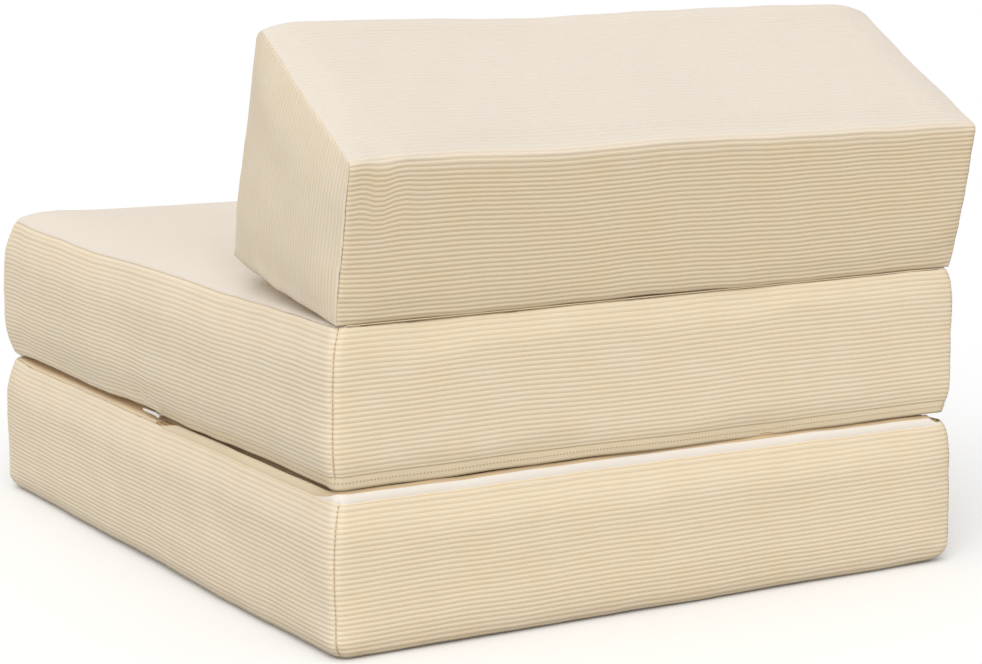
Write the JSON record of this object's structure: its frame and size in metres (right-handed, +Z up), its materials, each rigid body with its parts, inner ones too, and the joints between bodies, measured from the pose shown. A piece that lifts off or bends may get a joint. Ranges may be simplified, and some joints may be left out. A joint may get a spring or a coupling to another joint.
{
  "type": "folding sofa",
  "caption": "Folding foam sofa of stacked blocks in zipped corduroy covers; the seat folds forward and the wedge backrest folds back to make a flat bed.",
  "frame": {"origin": "centre of the base block's face on the floor", "axes": "+Z up, +Y to the back of the sofa, +X to the sitter's left"},
  "size_m": [0.816, 0.9678, 0.631],
  "materials": {
    "foam": "matt open-cell foam",
    "corduroy": "matt corduroy",
    "hinge_cloth": "matt plain weave",
    "zip_tape": "matt tape",
    "zip_plastic": "satin moulded"
  },
  "bodies": {
    "base": {"base_foam_core": "foam", "base_bottom_panel": "corduroy", "base_top_panel": "corduroy", "base_front_panel": "corduroy", "base_rear_panel": "corduroy", "base_left_panel": "corduroy", "base_right_panel": "corduroy", "base_zip_outer_tape": "zip_tape", "base_zip_inner_tape": "zip_tape", "base_zip_chain": "zip_plastic", "base_zip_stops": "zip_plastic", "base_zip_flap": "corduroy", "front_hinge_base_leaf": "hinge_cloth"},
    "base_zip_slider_body": {"base_zip_slider": "zip_plastic"},
    "base_zip_pull_body": {"base_zip_pull": "zip_plastic"},
    "seat": {"seat_foam_core": "foam", "seat_bottom_panel": "corduroy", "seat_top_panel": "corduroy", "seat_front_panel": "corduroy", "seat_rear_panel": "corduroy", "seat_left_panel": "corduroy", "seat_right_panel": "corduroy", "seat_zip_outer_tape": "zip_tape", "seat_zip_inner_tape": "zip_tape", "seat_zip_chain": "zip_plastic", "seat_zip_stops": "zip_plastic", "seat_zip_flap": "corduroy", "front_hinge_seat_leaf": "hinge_cloth", "rear_hinge_seat_leaf": "hinge_cloth"},
    "seat_zip_slider_body": {"seat_zip_slider": "zip_plastic"},
    "seat_zip_pull_body": {"seat_zip_pull": "zip_plastic"},
    "backrest": {"backrest_foam_core": "foam", "backrest_bottom_panel": "corduroy", "backrest_wrap_panel": "corduroy", "backrest_left_panel": "corduroy", "backrest_right_panel": "corduroy", "backrest_zip_outer_tape": "zip_tape", "backrest_zip_inner_tape": "zip_tape", "backrest_zip_chain": "zip_plastic", "backrest_zip_stops": "zip_plastic", "backrest_zip_flap": "corduroy", "rear_hinge_backrest_leaf": "hinge_cloth"},
    "backrest_zip_slider_body": {"backrest_zip_slider": "zip_plastic"},
    "backrest_zip_pull_body": {"backrest_zip_pull": "zip_plastic"}
  },
  "joints": [
    {"name": "seat_fold", "type": "hinge", "parent": "base", "child": "seat", "pos_m": [0, -0.47065, 0.17815], "axis": [1, 0, 0], "range_deg": [0, 180]},
    {"name": "backrest_fold", "type": "hinge", "parent": "seat", "child": "backrest", "pos_m": [0, 0.47065, 0.3515], "axis": [-1, 0, 0], "range_deg": [0, 170.5]},
    {"name": "base_zip_slide", "type": "slide", "parent": "base", "child": "base_zip_slider_body", "axis": [0, 1, 0], "range_m": [0, 0.42335]},
    {"name": "base_pull_swing", "type": "hinge", "parent": "base_zip_slider_body", "child": "base_zip_pull_body", "pos_m": [-0.4, 0.00915, 0.1725], "axis": [0, 0, -1], "range_deg": [0, 170]},
    {"name": "seat_zip_slide", "type": "slide", "parent": "seat", "child": "seat_zip_slider_body", "axis": [0, 1, 0], "range_m": [0, 0.42335]},
    {"name": "seat_pull_swing", "type": "hinge", "parent": "seat_zip_slider_body", "child": "seat_zip_pull_body", "pos_m": [0.4, 0.00915, 0.1793], "axis": [0, 0, 1], "range_deg": [0, 170]},
    {"name": "backrest_zip_slide", "type": "slide", "parent": "backrest", "child": "backrest_zip_slider_body", "axis": [1, 0, 0], "range_m": [0, 0.6817]},
    {"name": "backrest_pull_swing", "type": "hinge", "parent": "backrest_zip_slider_body", "child": "backrest_zip_pull_body", "pos_m": [-0.34085, 0.22855, 0.39009], "axis": [0, 0.165, 0.9863], "range_deg": [0, 170]}
  ]
}
